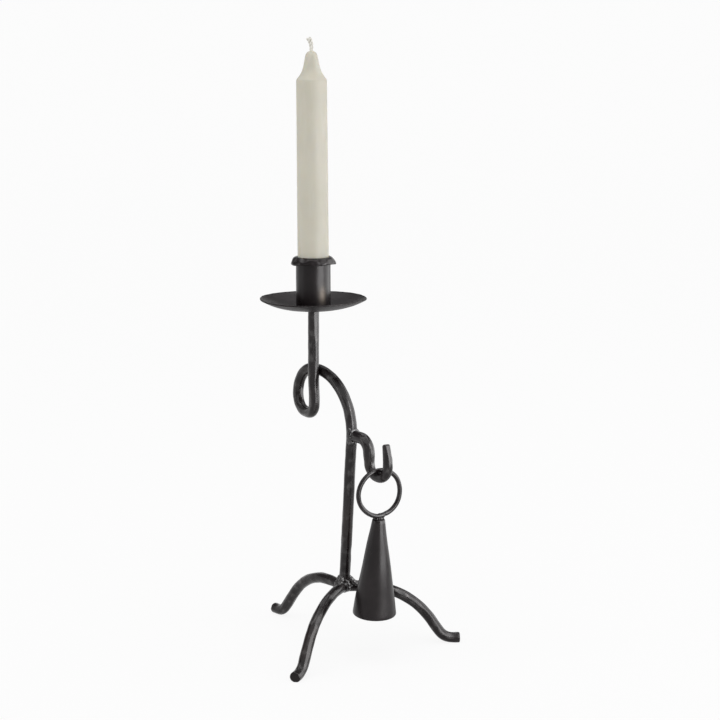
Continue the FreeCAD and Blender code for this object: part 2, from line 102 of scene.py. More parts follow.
class Finish:  # one material and its nodes
    def __init__(self, name):
        self.material = bpy.data.materials.new(name)
        self.material.use_nodes = True
        self.tree = self.material.node_tree
        self.tree.nodes.clear()

    def node(self, kind, settings, sockets, out=0):
        made = self.tree.nodes.new("ShaderNode" + kind)
        for key, value in settings.items():
            setattr(made, key, value)
        for key, value in sockets.items():
            if isinstance(value, Wire):
                self.tree.links.new(value.socket, made.inputs[key])
            else:
                made.inputs[key].default_value = value
        return Wire(self, made.outputs[out]) if made.outputs else None

    def place(self):
        return self.node("TexCoord", {}, {}, "Object")

    def stretched(self, where, scale):
        return self.node("Mapping", {}, {"Vector": where, "Scale": scale})

    def mark(self, name):  # a value that the mesh carries
        return self.node("Attribute", {"attribute_name": name}, {}, "Fac")

    def cloud(self, where, scale, detail):
        return self.node("TexNoise", {}, {"Vector": where, "Scale": scale, "Detail": detail})

    def between(self, value, low, high):
        return self.node("MapRange", {}, {"Value": value, "From Min": low, "From Max": high})

    def blend(self, mask, first, second):
        return self.node("Mix", {"data_type": "RGBA"}, {0: mask, 6: first, 7: second}, 2)

    def bump(self, height, strength, distance):
        return self.node("Bump", {}, {"Height": height, "Strength": strength, "Distance": distance})

    def close(self, surface):
        self.node("OutputMaterial", {}, {"Surface": surface})
        return self.material


# waxed black iron: soot black with a grey bloom, brown where the wax is thin, bare metal on hammered ridges,
# and a warm painted highlight on the cup's side
ironLook = {
    "soot": (0.0062, 0.0038, 0.0042, 1),
    "bloom": (0.0145, 0.0108, 0.0116, 1),
    "brown": (0.026, 0.017, 0.014, 1),
    "bare": (0.3, 0.29, 0.285, 1),
    # painted highlight: a warm pale colour that stands in for a reflection on the cup's side
    "paintedHighlight": (0.34, 0.285, 0.235, 1),
    "thin": 0.7,  # how far the brown shows
    "rub": 0.2,  # how far the ridges are rubbed bare
    # scale and detail of each noise
    "patches": (60, 2),
    "scaleMarks": (620, 4),
    "broad": (26, 2),
    "rubs": (130, 2),
    "pitScale": 380,
    # where each mask starts and ends on its noise
    "bloomMask": (0.36, 0.68),
    "brownMask": (0.56, 0.74),
    "rubMask": (0.42, 0.6),
    "pitMask": (0.05, 0.22),
    "coatMask": (0.25, 0.7),
    "patchHeight": 0.5,
    "pitShare": 0.3,  # of the grain's height
    "unevenGloss": 0.2,
    "ridgeGloss": 0.05,
    "coatRoughness": 0.2,
    "coatIor": 1.35,
    "bump": (0.35, 0.00035),  # strength, and depth in metres
}


def makeIron(name, roughness, level, grain, gloss):
    f = Finish(name)
    where = f.place()
    patches = f.cloud(where, *ironLook["patches"])
    scaleMarks = f.cloud(where, *ironLook["scaleMarks"])
    broad = f.cloud(where, *ironLook["broad"])
    ridges = f.mark("ridge")
    rubbed = ridges * f.between(f.cloud(where, *ironLook["rubs"]), *ironLook["rubMask"]) * ironLook["rub"]
    cells = f.node("TexVoronoi", {}, {"Vector": where, "Scale": ironLook["pitScale"]})
    pits = f.between(cells, *ironLook["pitMask"])
    colour = f.blend(f.between(patches, *ironLook["bloomMask"]), ironLook["soot"], ironLook["bloom"])
    colour = f.blend(f.between(broad, *ironLook["brownMask"]) * ironLook["thin"], colour, ironLook["brown"])
    colour = f.blend(rubbed, colour, ironLook["bare"])
    # painted highlight: where the mesh carries this mark, a warm pale spot stands in for a reflection
    colour = f.blend(f.mark("paintedHighlight"), colour, ironLook["paintedHighlight"])
    height = patches * ironLook["patchHeight"] + scaleMarks * grain + pits * (grain * ironLook["pitShare"])
    uneven = ironLook["unevenGloss"]
    dull = roughness + (patches - 0.5) * uneven + (scaleMarks - 0.5) * (grain * uneven)
    return f.close(f.node("BsdfPrincipled", {}, {
        "Base Color": colour,
        "Metallic": rubbed,
        "Roughness": dull - ridges * ironLook["ridgeGloss"],
        "Specular IOR Level": level,
        "Coat Weight": f.between(broad, *ironLook["coatMask"]) * gloss,
        "Coat Roughness": ironLook["coatRoughness"],
        "Coat IOR": ironLook["coatIor"],
        "Normal": f.bump(height, *ironLook["bump"]),
    }))


barIron = makeIron("barIron", roughness=0.27, level=0.28, grain=0.16, gloss=0.2)
sheetIron = makeIron("sheetIron", roughness=0.31, level=0.2, grain=0.03, gloss=0.16)
panIron = makeIron("panIron", roughness=0.46, level=0.18, grain=0.05, gloss=0.06)
coneIron = makeIron("coneIron", roughness=0.31, level=0.24, grain=0.05, gloss=0.16)
legIron = makeIron("legIron", roughness=0.27, level=0.2, grain=0.16, gloss=0.12)
weldIron = makeIron("weldIron", roughness=0.3, level=0.5, grain=0.12, gloss=0.6)

# moulded ivory wax, drawn out along its length
waxLook = {
    "body": (0.66, 0.63, 0.535, 1),
    "deep": (0.62, 0.595, 0.5, 1),
    "chalk": (0.7, 0.675, 0.6, 1),
    "soft": (38, 3),
    "fine": (420, 4),
    "drawn": (260, 3),
    "stretch": (1, 1, 0.12),
    "deepMask": (0.35, 0.7),
    "chalkMask": (0.5, 0.75),
    "chalkShare": 0.5,
    "roughness": 0.5,
    "unevenGloss": 0.12,
    "level": 0.2,
    "glow": 0.35,
    "glowColour": (1.0, 0.7, 0.4),
    "glowDepth": 0.004,  # metres
    "heights": (0.5, 0.3, 0.4),  # drawn, fine and soft
    "bump": (0.12, 0.0003),
}


def makeWax():
    f = Finish("ivoryWax")
    where = f.place()
    soft = f.cloud(where, *waxLook["soft"])
    fine = f.cloud(where, *waxLook["fine"])
    drawn = f.cloud(f.stretched(where, waxLook["stretch"]), *waxLook["drawn"])
    colour = f.blend(f.between(soft, *waxLook["deepMask"]), waxLook["body"], waxLook["deep"])
    chalky = f.between(drawn, *waxLook["chalkMask"]) * waxLook["chalkShare"]
    colour = f.blend(chalky, colour, waxLook["chalk"])
    drawnUp, fineUp, softUp = waxLook["heights"]
    return f.close(f.node("BsdfPrincipled", {}, {
        "Base Color": colour,
        "Roughness": waxLook["roughness"] + (fine - 0.5) * waxLook["unevenGloss"],
        "Specular IOR Level": waxLook["level"],
        "Subsurface Weight": waxLook["glow"],
        "Subsurface Radius": waxLook["glowColour"],
        "Subsurface Scale": waxLook["glowDepth"],
        "Normal": f.bump(drawn * drawnUp + fine * fineUp + soft * softUp, *waxLook["bump"]),
    }))


# cotton wick
cottonLook = {
    "light": (0.9, 0.885, 0.83, 1),
    "shade": (0.76, 0.73, 0.65, 1),
    "fibres": (2600, 4),
    "stretch": (1, 1, 0.25),
    "shadeMask": (0.35, 0.65),
    "roughness": 0.75,
    "level": 0.2,
    "fibreGloss": 0.2,
    "sheen": 0.25,
    "bump": (0.5, 0.0002),
}


def makeCotton():
    f = Finish("cottonWick")
    fibres = f.cloud(f.stretched(f.place(), cottonLook["stretch"]), *cottonLook["fibres"])
    colour = f.blend(f.between(fibres, *cottonLook["shadeMask"]), cottonLook["shade"], cottonLook["light"])
    return f.close(f.node("BsdfPrincipled", {}, {
        "Base Color": colour,
        "Roughness": cottonLook["roughness"] + fibres * cottonLook["fibreGloss"],
        "Specular IOR Level": cottonLook["level"],
        "Sheen Weight": cottonLook["sheen"],
        "Normal": f.bump(fibres, *cottonLook["bump"]),
    }))


ivoryWax = makeWax()
cottonWick = makeCotton()
print("finishes made")

# pale studio floor that turns up far away; soft panels stand round the object and a wide sky lights the floor
studio = {
    "flat": 3.0,  # metres
    "rim": 7.0,
    "rise": 1.8,
    "ringStep": 0.25,
    "sides": 96,
    "paper": (0.9, 0.9, 0.9, 1),
    "white": (1, 1, 1, 1),
    "show": 0.88,  # share of plain white that a look at the floor gets
    "air": 0.26,
    "sky": 1.7,
    "skyWidth": 80,  # degrees
    "skyTilt": (12, 10),
    "panels": [
        # name, degrees right of the camera, metres away and up, width, height, tilt, brightness, gloss alone
        ("keyPanel", 54, 1.3, 0.64, 0.5, 1.0, 90, 1.3, False),
        ("sidePanel", 96, 1.5, 0.72, 1.1, 1.1, 90, 0.7, False),
        ("leftPanel", -78, 1.4, 0.64, 0.4, 1.0, 90, 1.8, False),
        ("shineNear", 52, 0.62, 0.455, 0.5, 0.9, 90, 8.6, True),
        ("shineFar", 106, 0.7, 0.455, 0.7, 0.9, 90, 3.2, True),
        ("shineTop", 180, 0.3, 1.1, 0.7, 1.0, 0, 2.4, True),
    ],
}


def makeFloor():
    f = Finish("studioPaper")
    look = f.node("LightPath", {}, {}, "Is Camera Ray")
    for ray in ("Is Glossy Ray", "Is Transmission Ray"):
        look = look + f.node("LightPath", {}, {}, ray)
    paper = f.node("BsdfDiffuse", {}, {"Color": studio["paper"]})
    white = f.node("Emission", {}, {"Color": studio["white"], "Strength": 1.0})
    mixed = f.node("MixShader", {}, {0: look * studio["show"], 1: paper, 2: white})
    mesh = bmesh.new()
    rings = []
    sides = studio["sides"]
    turns = [k * fullTurn / sides for k in range(sides)]
    for number in range(round(studio["rim"] / studio["ringStep"])):
        radius = studio["ringStep"] * (number + 1)
        up = max(0.0, (radius - studio["flat"]) / (studio["rim"] - studio["flat"]))
        height = studio["rise"] * up * up
        rings.append([mesh.verts.new((radius * math.cos(a), radius * math.sin(a), height)) for a in turns])
    mesh.faces.new(rings[0])
    for inner, outer in zip(rings, rings[1:]):
        for k in range(sides):
            ahead = k - sides + 1
            mesh.faces.new((inner[k], outer[k], outer[ahead], inner[ahead]))
    data = bpy.data.meshes.new("studioFloor")
    mesh.to_mesh(data)
    mesh.free()
    data.shade_smooth()
    data.materials.append(f.close(mixed))
    floor = bpy.data.objects.new("studioFloor", data)
    scene.collection.objects.link(floor)


def hangLamps():
    world = bpy.data.worlds.new("studioAir")
    world.use_nodes = True
    air = world.node_tree.nodes["Background"]
    air.inputs["Color"].default_value = studio["white"]
    air.inputs["Strength"].default_value = studio["air"]
    scene.world = world
    towardsCamera = math.radians(photoView["turn"] - 90)
    for name, turn, away, up, width, height, tilt, bright, glossAlone in studio["panels"]:
        data = bpy.data.lights.new(name, "AREA")
        data.shape = "RECTANGLE"
        data.size = width
        data.size_y = height
        data.energy = bright * math.pi * width * height
        heading = towardsCamera + math.radians(turn)
        lamp = bpy.data.objects.new(name, data)
        lamp.location = (away * math.cos(heading), away * math.sin(heading), up)
        lamp.rotation_euler = (math.radians(tilt), 0, heading + math.pi / 2)
        lamp.visible_camera = False
        lamp.visible_diffuse = not glossAlone
        scene.collection.objects.link(lamp)
    data = bpy.data.lights.new("studioSky", "SUN")
    data.energy = studio["sky"]
    data.angle = math.radians(studio["skyWidth"])
    sky = bpy.data.objects.new("studioSky", data)
    sky.rotation_euler = [math.radians(tilt) for tilt in studio["skyTilt"]] + [0]
    scene.collection.objects.link(sky)


makeFloor()
hangLamps()
print("floor and lamps set")


def newPiece(name, verts, faces, finish, body, node, marks=None):
    data = bpy.data.meshes.new(name)
    data.from_pydata([Vector(v) * mm for v in verts], [], faces)
    for mark, values in (marks or {}).items():
        data.attributes.new(mark, "FLOAT", "POINT").data.foreach_set("value", values)
    dressPiece(name, data, finish, body, node)


def dressPiece(name, data, finish, body, node):
    mesh = bmesh.new()
    mesh.from_mesh(data)
    bmesh.ops.recalc_face_normals(mesh, faces=mesh.faces)
    mesh.to_mesh(data)
    mesh.free()
    data.shade_smooth()
    data.materials.append(finish)
    piece = bpy.data.objects.new(name, data)
    scene.collection.objects.link(piece)
    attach(piece, body)
    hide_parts(node)
    print("made", name, len(data.polygons), "faces")


def evenly(points, step):
    lengths = [0.0]
    for a, b in zip(points, points[1:]):
        lengths.append(lengths[-1] + (b - a).length)
    count = max(2, round(lengths[-1] / step))
    route, k = [], 0
    for i in range(count + 1):
        reach = lengths[-1] * i / count
        while k < len(points) - 2 and lengths[k + 1] < reach:
            k += 1
        span = lengths[k + 1] - lengths[k]
        route.append(points[k].lerp(points[k + 1], (reach - lengths[k]) / span if span else 0))
    return route


def roundedRoute(corners, bends, step, settle, arcSteps=24):
    points = [corners[0]]
    for corner, before, after, bend in zip(corners[1:], corners, corners[2:], bends):
        back = (before - corner).normalized()
        ahead = (after - corner).normalized()
        half = back.angle(ahead) / 2
        hub = corner + (back + ahead).normalized() * bend / math.sin(half)
        first = corner + back * bend / math.tan(half) - hub
        last = corner + ahead * bend / math.tan(half) - hub
        turn = math.pi - 2 * half
        for k in range(arcSteps + 1):
            share = k / arcSteps
            spoke = first * math.sin((1 - share) * turn) + last * math.sin(share * turn)
            points.append(hub + spoke / math.sin(turn))
    points.append(corners[-1])
    route = evenly(points, step)
    for _ in range(settle):  # eases the start and end of each bend
        middle = [p * 0.5 + (a + b) * 0.25 for a, p, b in zip(route, route[1:], route[2:])]
        route = [route[0]] + middle + [route[-1]]
    return route


# hammer: what each blow does to a bar
hammer = {
    # least and greatest share of a bar's own depth and reach
    "depths": (0.35, 1),
    "reaches": (0.7, 1.3),
    "drawnOut": 3.0,  # every second blow is a long flat
    "steepest": 0.35,  # cosine at which a flat ends on the bar's side
    "blend": 0.16,  # mm, softness between two flats
    "endScale": 0.45,  # how far the first and last ring are drawn in
    "thinnest": 0.05,
    "grain": 0.16,  # scale of the ripple between the blows
    "sink": 0.35,  # takes the ripple mostly below the surface
    # a full ridge stands this many mm above the points so many rings and sides away
    "ridgeHeight": 0.07,
    "ridgeRings": 4,
    "ridgeSides": 3,
}


def hammerBlows(seed, total, spacing, depth, reach):
    chance = random.Random(seed)
    blows = []
    for k in range(int(total / spacing)):
        place, facing = (k + chance.random()) * spacing, chance.uniform(0, fullTurn)
        long = hammer["drawnOut"] if k % 2 == 0 else 1.0
        deep = chance.uniform(*hammer["depths"]) * depth
        blows.append((place, facing, deep, chance.uniform(*hammer["reaches"]) * reach * long))
    return blows


def pressed(radius, along, angle, blows):
    pressedTo = radius
    for place, facing, depth, reach in blows:
        away = (along - place) / reach
        lean = math.cos(angle - facing)
        if lean > hammer["steepest"]:
            flat = (radius - depth * (1 - away * away) ** 2) / lean
            share = max(0.0, min(1.0, 0.5 + (flat - pressedTo) / hammer["blend"]))
            pressedTo = flat + (pressedTo - flat) * share - hammer["blend"] / 2 * share * (1 - share)
    return pressedTo


def roundedEnd(size):  # how far in from the end, and how much thinner
    turns = [k * math.pi / 8 for k in range(4)]
    return [(size * (1 - math.cos(a)), size * (1 - math.sin(a))) for a in turns]


def carriedFrames(route):  # two directions across the bar, carried along without twist
    tangents = [(route[i + 1] - route[max(i - 1, 0)]).normalized() for i in range(len(route) - 1)]
    tangents.append((route[-1] - route[-2]).normalized())
    side = tangents[0].orthogonal().normalized()
    frames = []
    for tangent in tangents:
        side = (side - tangent * side.dot(tangent)).normalized()
        frames.append((side, tangent.cross(side)))
    return frames


def findRidges(rings, heights, sides):
    apart, beside = hammer["ridgeRings"], hammer["ridgeSides"]
    ridges = [0.0] * (len(heights) + 2)  # two more for the middles of the ends
    for before, ring, after in zip(rings, rings[apart:], rings[2 * apart:]):
        for j in range(sides):
            around = [heights[k] for k in (ring[j - beside], ring[j + beside - sides], before[j], after[j])]
            middle = [heights[k] for k in (ring[j], ring[j - 1], ring[j + 1 - sides])]
            stands = sum(middle) / 3 - sum(around) / 4
            ridges[ring[j]] = max(0.0, min(1.0, stands / hammer["ridgeHeight"]))
    return ridges


def forgedBar(route, radiusAt, blows, sides, ends, ripple, seed):
    # rings along the route, pressed flat where the hammer fell, with softened ends
    head, tail = ends
    total = sum((b - a).length for a, b in zip(route, route[1:]))
    step = total / (len(route) - 1)
    inner = int((total - head - tail) / step)
    places = roundedEnd(head)
    places += [(head + (total - head - tail) * k / inner, 0.0) for k in range(inner + 1)]
    places += [(total - along, shrink) for along, shrink in reversed(roundedEnd(tail))]
    frames = carriedFrames(route)
    verts, faces, rings, heights = [], [], [], []

    def addRing(along, shrink, scale):
        spot = min(along / step, len(route) - 1.000001)  # just short of the last point
        k, share = int(spot), spot - int(spot)
        centre = route[k].lerp(route[k + 1], share)
        u = frames[k][0].lerp(frames[k + 1][0], share)
        v = frames[k][1].lerp(frames[k + 1][1], share)
        base = radiusAt(along / total)
        near = [b for b in blows if abs(along - b[0]) < b[3]]
        ring = []
        for j in range(sides):
            angle = j * fullTurn / sides
            out = u * math.cos(angle) + v * math.sin(angle)
            radius = pressed(base, along, angle, near)
            spotNoise = noise.noise((centre + out * base) * hammer["grain"] + Vector((seed, 0, 0)))
            radius += ripple * (spotNoise - hammer["sink"])
            ring.append(len(verts))
            verts.append(centre + out * max(hammer["thinnest"], radius - shrink) * scale)
            heights.append(radius - base)
        rings.append(ring)

    addRing(0, head, hammer["endScale"])
    for along, shrink in places:
        addRing(along, shrink, 1)
    addRing(total, tail, hammer["endScale"])
    for a, b in zip(rings, rings[1:]):
        for j in range(sides):
            faces.append((a[j], a[j - sides + 1], b[j - sides + 1], b[j]))
    ridges = findRidges(rings, heights, sides)
    for ring, centre in ((rings[0], route[0]), (rings[-1], route[-1])):
        verts.append(Vector(centre))
        for j in range(sides):
            faces.append((ring[j], ring[j - sides + 1], len(verts) - 1))
    return verts, faces, ridges


# looped stem: one bar from the tripod over the arch, round the loop and up to the pan
stem = {
    "foot": (19.005, 1.7814),  # mm, middle of the tripod
    "corners": [
        (0, 0, 41), (12.5, 0, 198.5), (-52.4, 0, 198.5), (-51.6, -4, 167.2),
        (-23.7, -8, 167.2), (-25.3, -8, 197), (-24.6, -8, 244.45),
    ],
    "bends": [40, 16, 14.5, 8.4, 90],
    "radius": 4.0,  # before the hammer falls
    "step": 1.1,
    "settle": 10,
    "blows": {"seed": 7, "spacing": 5.0, "depth": 0.32, "reach": 10},
    "bar": {"sides": 48, "ends": (0.6, 0.4), "ripple": 0.2, "seed": 3},
}
barFoot = Vector((stem["foot"][0], stem["foot"][1], 0))


def makeStem():
    corners = [barFoot + Vector(c) for c in stem["corners"]]
    route = roundedRoute(corners, stem["bends"], stem["step"], stem["settle"])
    blows = hammerBlows(total=stem["step"] * len(route), **stem["blows"])
    verts, faces, ridges = forgedBar(route, lambda t: stem["radius"], blows, **stem["bar"])
    newPiece("loopedStem", verts, faces, barIron, "frame", "stem", {"ridge": ridges})


makeStem()

# tripod: level at the weld, arched down, and a short level foot with a square end
tripod = {
    "legs": [
        # name, node, heading in degrees, then reach, knee and ankle in mm from the tripod's middle
        ("rightLeg", "leg_right", 56, 84.2, 44.9, 72.7),
        ("frontLeg", "leg_front", -61, 84.2, 43.83, 73.4),
        ("backLeg", "leg_back", 178.4, 91.2, 45.2, 80.2),
    ],
    "root": 2.6,
    "level": 44,
    "toe": 3.3,
    "bends": [60, 12],
    "radius": 4.0,  # before the hammer falls
    "step": 1.0,
    "settle": 10,
    "seed": 21,  # the next leg takes the next number
    "blows": {"spacing": 4.2, "depth": 0.36, "reach": 7},
    "bar": {"sides": 48, "ends": (0.4, 1.0), "ripple": 0.2},
}


def makeLeg(name, node, heading, reach, knee, ankle, seed):
    out = Vector((math.cos(math.radians(heading)), math.sin(math.radians(heading)), 0))
    level, toe = tripod["level"], tripod["toe"]
    spots = [(tripod["root"], level), (knee, level), (ankle, toe), (reach, toe)]
    corners = [barFoot + out * r + upward * z for r, z in spots]
    route = roundedRoute(corners, tripod["bends"], tripod["step"], tripod["settle"])
    blows = hammerBlows(seed, tripod["step"] * len(route), **tripod["blows"])
    verts, faces, ridges = forgedBar(route, lambda t: tripod["radius"], blows, seed=seed, **tripod["bar"])
    verts = [Vector((v.x, v.y, max(0.0, v.z))) for v in verts]  # the foot is worn flat on the floor
    newPiece(name, verts, faces, legIron, "frame", node, {"ridge": ridges})


for number, leg in enumerate(tripod["legs"]):
    makeLeg(*leg, tripod["seed"] + number)

# hook: a stout falling limb, thinner towards the tip
hook = {
    "foot": (27.945, 1.7814),  # mm, the stem's middle at the hook's height
    "corners": [(0.6, 157.2), (20.2, 157.2), (20.2, 132.6), (41.3, 132.6), (41.3, 146.6), (39.1, 157.9)],
    "bends": [9, 10, 10, 25],
    "widths": [(0, 8.3), (0.32, 8.4), (0.48, 7.15), (0.68, 7.15), (0.86, 7.0), (0.97, 5.6), (1, 5.4)],
    "trough": 0.6,  # share of the length where the ring hangs and wears the bar smooth
    "smooth": 5,  # mm to each side
    "step": 0.7,
    "settle": 8,
    "blows": {"seed": 5, "spacing": 2.2, "depth": 0.55, "reach": 4},
    "bar": {"sides": 48, "ends": (0.4, 1.3), "ripple": 0.06, "seed": 9},
}


def readStops(stops, t):
    for (a, low), (b, high) in zip(stops, stops[1:]):
        if t <= b:
            return low + (high - low) * (t - a) / (b - a)
    return stops[-1][1]


def makeHook():
    corners = [Vector((hook["foot"][0] + x, hook["foot"][1], z)) for x, z in hook["corners"]]
    route = roundedRoute(corners, hook["bends"], hook["step"], hook["settle"])
    total = hook["step"] * len(route)
    blows = hammerBlows(total=total, **hook["blows"])
    blows = [b for b in blows if abs(b[0] - hook["trough"] * total) > b[3] + hook["smooth"]]
    verts, faces, ridges = forgedBar(route, lambda t: readStops(hook["widths"], t) / 2, blows, **hook["bar"])
    newPiece("snufferHook", verts, faces, barIron, "frame", "snuffer_hook", {"ridge": ridges})


makeHook()
nearAxis = 0.02  # mm, a turned outline stops this short of its axis


def turnedShape(profile, centre, sides, wander):
    # a closed outline turned about an upright axis; wander moves each point a little
    verts, faces = [], []
    count = len(profile)
    for j in range(sides):
        angle = j * fullTurn / sides
        for radius, height in profile:
            r, z = wander(radius, height, angle)
            verts.append(Vector((centre[0] + r * math.cos(angle), centre[1] + r * math.sin(angle), z)))
    for j in range(sides):
        ahead = (j + 1) % sides
        for k in range(count):
            nextK = (k + 1) % count
            faces.append((j * count + k, ahead * count + k, ahead * count + nextK, j * count + nextK))
    return verts, faces


def arcPoints(hub, radius, start, end, count):
    turns = [math.radians(start + (end - start) * k / (count - 1)) for k in range(count)]
    return [(hub[0] + radius * math.cos(a), hub[1] + radius * math.sin(a)) for a in turns]


def waves(terms, angle):  # size, lobes round the edge and phase of each wave
    return sum(size * math.sin(lobes * angle + phase) for size, lobes, phase in terms)


def roundNoise(angle, height, roundScale, upScale):  # noise that closes on itself round an axis
    return noise.noise(Vector((math.cos(angle) * roundScale, math.sin(angle) * roundScale, height * upScale)))


# drip pan: a thin dish, hammered, with a slightly wavy rim
pan = {
    "centre": (-5.895, -6.219),
    "under": 244.5,
    "wall": 1.1,
    "floor": 13.0,
    "floorRings": [nearAxis, 4, 8, 11],
    "dishRings": 26,
    "radius": 37.9,
    "bend": 54,
    "highSide": -0.5,  # radians, the way the dish sits a little high
    "trueShare": 0.35,  # share of the radius that the waves leave alone
    "waves": [(0.34, 2, 0.7), (0.2, 3, 2.1), (0.12, 5, 0)],
    "dents": [(0.28, 0.11, 0), (0.12, 0.25, 7)],  # size in mm, noise scale and seed
    "sides": 128,
}


def makePan():
    edgeRound = pan["wall"] / 2
    edge = pan["radius"] - edgeRound

    def dish(radius):  # height of the underside
        past = max(0.0, radius - pan["floor"])
        return pan["under"] + pan["bend"] - math.sqrt(pan["bend"] ** 2 - past * past)

    steps = pan["dishRings"]
    radii = pan["floorRings"] + [pan["floor"] + (edge - pan["floor"]) * k / steps for k in range(steps + 1)]
    under = [(r, dish(r)) for r in radii]
    rim = arcPoints((edge, dish(edge) + edgeRound), edgeRound, -62, 118, 7)
    top = [(r, dish(r) + pan["wall"]) for r in reversed(radii)]

    def wander(r, z, a):
        loose = max(0.0, r / pan["radius"] - pan["trueShare"])
        front = loose * loose * (1 + math.cos(a - pan["highSide"]))
        spot = Vector((r * math.cos(a), r * math.sin(a), 0))
        dents = 0.0
        for size, scale, seed in pan["dents"]:
            dents += size * noise.noise(spot * scale + Vector((seed, 0, 0)))
        return r, z + loose * (waves(pan["waves"], a) + dents) + front

    verts, faces = turnedShape(under + rim + top, pan["centre"], pan["sides"], wander)
    newPiece("dripPan", verts, faces, panIron, "frame", "drip_pan")


makePan()

# cup: a tube with its top rolled out and down, the lip hammered and a little uneven
cup = {
    "foot": 245.6,
    "bore": 11.3,
    "outer": 12.25,
    "lip": 15.8,
    "top": 281.5,
    "roll": 4.5,
    "wall": 0.95,
    "tail": 0.5,
    "bevel": 0.2,
    "neck": 2.6,  # how far the tube reaches up into the roll
    "soft": 0.25,  # rounding of the lip's cut edge
    "lipWaves": [(0.3, 3, 0.4), (0.22, 5, 1.9), (0.12, 9, 0)],
    "lipDroop": [(0.35, 2, 2.2), (0.25, 5, 0.3)],
    "lipLumps": 0.5,
    "lipGrain": (3.4, 0.3),  # noise scale round and up
    "tubeLumps": 0.07,
    "tubeGrain": (2, 0.12),
    "tubeRings": 16,
    "skin": 0.3,  # mm, the bore's side stays true
    "highlightFrom": 0.5,  # mm out from the bore; the painted highlight lies only outside this
    # hammered flats on the lip: heading and tilt in degrees, depth in mm
    "flats": [
        (-66, 50, 0.55), (-40, 18, 0.4), (-12, 42, 0.5), (16, 28, 0.4), (48, 50, 0.5), (84, 24, 0.45),
        (122, 46, 0.5), (158, 30, 0.45), (190, 52, 0.5), (222, 22, 0.4), (256, 44, 0.5),
    ],
    "flatWidth": 17,  # degrees to each side
    "highlightSpot": (-4.5, 255.2, 11, 4.6),  # painted highlight, a warm pale spot that stands in for a reflection: heading, height, and its reach in degrees and mm
    "sides": 144,
}


def makeCup():
    bore, outer, lip, soft = cup["bore"], cup["outer"], cup["lip"], cup["soft"]
    base = cup["top"] - cup["roll"]
    tail = base - cup["tail"]
    start = cup["foot"] + cup["bevel"]
    inside = cup["roll"] - cup["wall"]
    throat = math.degrees(math.acos((outer - bore) / inside))
    rings = cup["tubeRings"]
    heights = [start + (base + cup["neck"] - start) * k / rings for k in range(rings + 1)]
    profile = [(bore, cup["foot"]), (outer - cup["bevel"], cup["foot"])]
    profile += [(outer, z) for z in heights]
    profile += arcPoints((bore, base), inside, throat - 3, 0, 8)
    profile += [(lip - cup["wall"], tail + 0.2), (lip - cup["wall"] + soft, tail), (lip - soft, tail)]
    profile += [(lip, tail + soft)] + arcPoints((bore, base), cup["roll"], 2, 84, 14)
    profile += [(bore + 0.12, cup["top"] - 0.08), (bore, cup["top"] - 0.35)]
    profile += [(bore, z) for z in reversed(heights)]

    def flattened(r, z, a):
        for heading, tilt, depth in cup["flats"]:
            aside = math.remainder(a - math.radians(heading), fullTurn) / math.radians(cup["flatWidth"])
            out, up = math.cos(math.radians(tilt)), math.sin(math.radians(tilt))
            press = depth * max(0.0, 1 - aside * aside) ** 2
            over = (r - bore) * out + (z - base) * up - cup["roll"] + press
            if over > 0:
                r, z = r - over * out, z - over * up
        return r, z

    def wander(r, z, a):
        flare = max(0.0, (r - outer) / (lip - outer))
        wave = waves(cup["lipWaves"], a) + cup["lipLumps"] * roundNoise(a, z, *cup["lipGrain"])
        droop = flare * waves(cup["lipDroop"], a)
        if r > bore + cup["skin"]:
            r += cup["tubeLumps"] * roundNoise(a, z, *cup["tubeGrain"])
        if z > base and math.hypot(r - bore, z - base) > cup["roll"] - cup["skin"]:
            r, z = flattened(r, z, a)
        return r + flare * wave, z + droop

    # painted highlight: how strongly the warm pale spot, standing in for a reflection, lies on each point
    def paintedHighlight(v):
        heading, height, wide, high = cup["highlightSpot"]
        dx, dy = v.x - pan["centre"][0], v.y - pan["centre"][1]
        aside = math.remainder(math.atan2(dy, dx) - math.radians(heading), fullTurn) / math.radians(wide)
        outside = math.hypot(dx, dy) > bore + cup["highlightFrom"]
        return math.exp(-aside * aside - ((v.z - height) / high) ** 2) * outside

    verts, faces = turnedShape(profile, pan["centre"], cup["sides"], wander)
    marks = {"paintedHighlight": [paintedHighlight(v) for v in verts]}
    newPiece("candleCup", verts, faces, sheetIron, "frame", "candle_cup", marks)


makeCup()

# snuffer cone: rolled sheet, closed at its top and open below, hung a little aslant
cone = {
    "mouth": (54.28, 1.781, 33.27),
    "top": (58.85, 2.0, 102.94),
    "mouthRadius": 15.2,
    "topRadius": 4.4,
    "wall": 1.2,
    "cap": 2.4,
    "wallEnds": (0.35, 0.8),  # mm from the mouth and from the top
    "rings": 34,
    "belly": 0.45,
    "oval": 0.16,
    "lobes": 0.08,
    "mouthWave": 0.16,
    "dents": 0.3,
    "dentGrain": (1.3, 0.045),
    "sides": 96,
}


